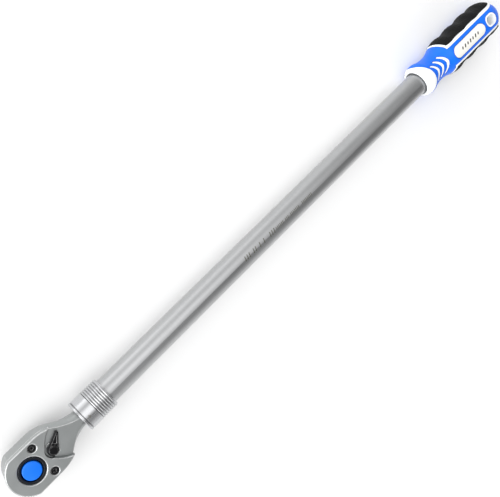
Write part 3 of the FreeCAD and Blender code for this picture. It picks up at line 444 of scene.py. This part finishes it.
# strokes are (x, y, length, width, angle in degrees) in mm, seen from above; each becomes a thin film laid on
# the surface under it
def layMarks(name, target, strokes, filmMm, material, body, fromBelow=False):
    skin = nodes[target].data
    surface = BVHTree.FromPolygons([vertex.co for vertex in skin.vertices],
                                   [tuple(polygon.vertices) for polygon in skin.polygons])
    height = -1.0 if fromBelow else 1.0
    points, faces = [], []
    for x, y, length, width, angle in strokes:
        steps = max(2, round(length / strokeStepMm))
        along = Vector((math.cos(math.radians(angle)), math.sin(math.radians(angle))))
        across = Vector((-along.y, along.x))
        first = len(points)
        for step in range(steps + 1):
            for side in (-0.5, 0.5):
                spot = Vector((x, y)) + along * length * (step / steps - 0.5) + across * width * side
                start = Vector((spot.x * mm, spot.y * mm, height))
                hit, normal = surface.ray_cast(start, Vector((0, 0, -height)))[:2]
                points.append(hit + normal * filmMm * mm)
        for step in range(steps):
            a = first + 2 * step
            faces.append((a, a + 2, a + 3, a + 1) if not fromBelow else (a, a + 1, a + 3, a + 2))
    mesh = bpy.data.meshes.new(name)
    mesh.from_pydata(points, [], faces)
    mesh.update()
    piece = bpy.data.objects.new(name, mesh)
    bpy.context.scene.collection.objects.link(piece)
    piece.data.materials.append(material)
    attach(piece, body)
    return piece


etched = {"dark": "#55544C", "light": "#7B7A70", "speckleMm": 0.4, "metallic": 0.6, "roughness": 0.62}


# laser etching: the beam leaves a dull, straw-grey oxide, a little uneven
def makeEtch():
    material, tree = newMaterial("laser_etched_oxide")
    speckle = addNode(tree, "TexNoise", {"Vector": stretchedPlace(tree, [etched["speckleMm"]] * 3),
                                         "Scale": 1.0, "Detail": 4.0})
    tint = addNode(tree, "Mix", {"Factor": speckle.outputs["Fac"], 6: linear(etched["dark"]),
                                 7: linear(etched["light"])}, data_type="RGBA")
    shader = addNode(tree, "BsdfPrincipled", {"Base Color": tint.outputs[2], "Metallic": etched["metallic"],
                                              "Roughness": etched["roughness"]})
    finishMaterial(tree, shader)
    return material


printed = {"dark": "#1B1B1F", "light": "#34343A", "speckleMm": 0.5, "roughness": 0.45}


# pad-printed ink: dense black with a faint mottle from the pad
def makeInk():
    material, tree = newMaterial("pad_printed_ink")
    speckle = addNode(tree, "TexNoise", {"Vector": stretchedPlace(tree, [printed["speckleMm"]] * 3),
                                         "Scale": 1.0, "Detail": 3.0})
    tint = addNode(tree, "Mix", {"Factor": speckle.outputs["Fac"], 6: linear(printed["dark"]),
                                 7: linear(printed["light"])}, data_type="RGBA")
    shader = addNode(tree, "BsdfPrincipled", {"Base Color": tint.outputs[2],
                                              "Roughness": printed["roughness"], "IOR": 1.5})
    finishMaterial(tree, shader)
    return material


etch = makeEtch()
ink = makeInk()

tubeMarks = {"fromMm": 233.0, "toMm": 318.0, "largeUntilMm": 272.0, "asideMm": 0.4, "pitchMm": 2.6,
             "heightMm": 4.4, "smallPitchMm": 1.7, "smallHeightMm": 2.6, "lineMm": 0.7, "largeBold": 1.25,
             "smallBold": 0.9, "slant": 72, "gapShare": 0.12, "filmMm": 0.015, "seed": 7}


# a row of slanted index strokes along the top of the tube, coarse first and then fine, with gaps like a
# scale's
def makeTubeMarks():
    chance = random.Random(tubeMarks["seed"])
    strokes, x = [], tubeMarks["fromMm"]
    while x < tubeMarks["toMm"]:
        large = x < tubeMarks["largeUntilMm"]
        high = tubeMarks["heightMm"] if large else tubeMarks["smallHeightMm"]
        bold = tubeMarks["largeBold"] if large else tubeMarks["smallBold"]
        if chance.random() > tubeMarks["gapShare"]:
            strokes.append((x, tubeMarks["asideMm"], high, tubeMarks["lineMm"] * bold, tubeMarks["slant"]))
        x += tubeMarks["pitchMm"] if large else tubeMarks["smallPitchMm"]
    layMarks("tube_index_marks", "outer_tube", strokes, tubeMarks["filmMm"], etch, "bar")
    print("tube marks:", len(strokes))


makeTubeMarks()

panelMarks = {"count": 7, "pitchMm": 4.2, "heightMm": 3.6, "lineMm": 1.5, "slant": 62, "lowHeight": 0.75,
              "filmMm": 0.02}


# a row of slanted dashes printed on each panel
def makePanelMarks():
    for name, fromBelow in (("name_panel_top", False), ("name_panel_bottom", True)):
        low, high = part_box(name)
        middle = (low.x + high.x) / 2 / mm
        shortest = panelMarks["lowHeight"]
        strokes = [(middle + (index - (panelMarks["count"] - 1) / 2) * panelMarks["pitchMm"], 0,
                    panelMarks["heightMm"] * (shortest + (1 - shortest) * (index % 2)), panelMarks["lineMm"],
                    panelMarks["slant"]) for index in range(panelMarks["count"])]
        layMarks(name + "_print", name, strokes, panelMarks["filmMm"], ink, "bar", fromBelow)


makePanelMarks()

sleeveArrow = {"xMm": 54.8, "lengthMm": 4.2, "headMm": 2.2, "headSlant": 40, "lineMm": 0.45, "filmMm": 0.02}


# an arrow etched on the sleeve's plain band shows which way it is drawn
def makeSleeveArrow():
    tip = sleeveArrow["xMm"] + sleeveArrow["lengthMm"] / 2
    head, line, slant = sleeveArrow["headMm"], sleeveArrow["lineMm"], sleeveArrow["headSlant"]
    back = head / 2 * math.cos(math.radians(slant))
    aside = head / 2 * math.sin(math.radians(slant))
    strokes = [(sleeveArrow["xMm"], 0, sleeveArrow["lengthMm"], line, 0),
               (tip - back, aside, head, line, -slant),
               (tip - back, -aside, head, line, slant)]
    layMarks("sleeve_arrow", "lock_sleeve", strokes, sleeveArrow["filmMm"], etch, "sleeve")


makeSleeveArrow()
print("marks laid")


# Studio: pale floor, soft light and the camera

floorPaper = {"colour": "#F4F4F4", "halfSize": 6.0, "fibreMm": 3}


def makeFloor():
    half = floorPaper["halfSize"]
    ground = cadBox[0].z
    mesh = bpy.data.meshes.new("floor")
    corners = [(-half, -half), (half, -half), (half, half), (-half, half)]
    mesh.from_pydata([(x, y, ground) for x, y in corners], [], [(0, 1, 2, 3)])
    floor = bpy.data.objects.new("floor", mesh)
    bpy.context.scene.collection.objects.link(floor)
    material, tree = newMaterial("matt_white_paper")
    fibre = addNode(tree, "TexNoise", {"Vector": stretchedPlace(tree, [floorPaper["fibreMm"]] * 3),
                                       "Scale": 1.0, "Detail": 3.0})
    bump = addNode(tree, "Bump", {"Height": fibre.outputs["Fac"], "Strength": 0.05, "Distance": 0.02 * mm})
    shader = addNode(tree, "BsdfPrincipled", {"Base Color": linear(floorPaper["colour"]), "Roughness": 0.9,
                                              "Specular IOR Level": 0.1, "Normal": bump.outputs["Normal"]})
    finishMaterial(tree, shader)
    floor.data.materials.append(material)


# levels of the room's light: each ramp runs between two values of a direction's x, y or z
room = {"zenith": 0.66, "horizon": 1.9, "horizonRamp": (0.1, 0.85), "pastGrip": 0.42, "gripRamp": (0.05, 0.7),
        "farSide": 0.45, "farRamp": (-0.6, 0.1), "strip": 1.1, "stripInRamp": (-0.4, 0.05),
        "stripOutRamp": (0.35, 0.8), "stripEndRamp": (0.2, 0.55)}


# The room: bright all round at the horizon, which lights the edges, dimmer past the grip and on the far side,
# with a long strip of light overhead, so that round metal shows lengthwise bands.
def makeRoomLight():
    world = bpy.data.worlds.new("softRoom")
    bpy.context.scene.world = world
    world.use_nodes = True
    tree = world.node_tree
    tree.nodes.clear()
    direction = addNode(tree, "TexCoord")
    axes = addNode(tree, "SeparateXYZ", {"Vector": direction.outputs["Generated"]})
    ramps = {}
    for name, axis, ramp, first, last in (
            ("grip", "X", "gripRamp", 1.0, room["pastGrip"]),
            ("far", "Y", "farRamp", room["farSide"], 1.0),
            ("height", "Z", "horizonRamp", room["horizon"], room["zenith"]),
            ("stripIn", "Y", "stripInRamp", 0.0, 1.0),
            ("stripOut", "Y", "stripOutRamp", 1.0, 0.0),
            ("stripEnd", "X", "stripEndRamp", room["strip"], 0.0)):
        start, end = room[ramp]
        ramps[name] = addNode(tree, "MapRange", {"Value": axes.outputs[axis], "From Min": start,
                                                 "From Max": end, "To Min": first, "To Max": last},
                              interpolation_type="SMOOTHSTEP").outputs["Result"]
    both = addNode(tree, "Math", {0: ramps["grip"], 1: ramps["far"]}, operation="MULTIPLY")
    base = addNode(tree, "Math", {0: both.outputs[0], 1: ramps["height"]}, operation="MULTIPLY")
    across = addNode(tree, "Math", {0: ramps["stripIn"], 1: ramps["stripOut"]}, operation="MULTIPLY")
    level = addNode(tree, "Math", {0: across.outputs[0], 1: ramps["stripEnd"], 2: base.outputs[0]},
                    operation="MULTIPLY_ADD")
    light = addNode(tree, "Background", {"Color": (1, 1, 1, 1), "Strength": level.outputs[0]})
    addNode(tree, "OutputWorld", {"Surface": light.outputs["Background"]})


softBoxes = {
    "keyBox": {"place": (-2.6, 1.0, 3.0), "target": (0.2, 0, 0), "size": 2.6, "power": 42.0},
    "fillBox": {"place": (-1.8, -2.6, 2.8), "target": (0.3, 0, 0), "size": 2.6, "power": 28.0},
}


def makeSoftBox(name, place, target, size, power):
    lamp = bpy.data.lights.new(name, "AREA")
    lamp.shape = "SQUARE"
    lamp.size = size
    lamp.energy = power
    holder = bpy.data.objects.new(name, lamp)
    holder.location = place
    holder.rotation_mode = "QUATERNION"
    holder.rotation_quaternion = (Vector(target) - Vector(place)).to_track_quat("-Z", "Y")
    bpy.context.scene.collection.objects.link(holder)


camera = {"placeMm": (61.36, 204.0, 562.67), "right": (0.676641, -0.580863, 0.452498),
          "up": (0.670008, 0.740585, -0.051218), "lens": 50.4, "sensor": 36.0}


def makeCamera():
    lens = bpy.data.cameras.new("camera")
    lens.lens = camera["lens"]
    lens.sensor_width = camera["sensor"]
    lens.clip_start, lens.clip_end = 0.01, 50.0
    holder = bpy.data.objects.new("camera", lens)
    right, up = Vector(camera["right"]), Vector(camera["up"])
    turn = Matrix((right, up, right.cross(up))).transposed()
    holder.rotation_mode = "QUATERNION"
    holder.rotation_quaternion = turn.to_quaternion()
    holder.location = Vector(camera["placeMm"]) * mm
    bpy.context.scene.collection.objects.link(holder)
    bpy.context.scene.camera = holder


makeFloor()
makeRoomLight()
for name, row in softBoxes.items():
    makeSoftBox(name, **row)
makeCamera()
bpy.context.scene.view_settings.view_transform = "Standard"
print("studio set")
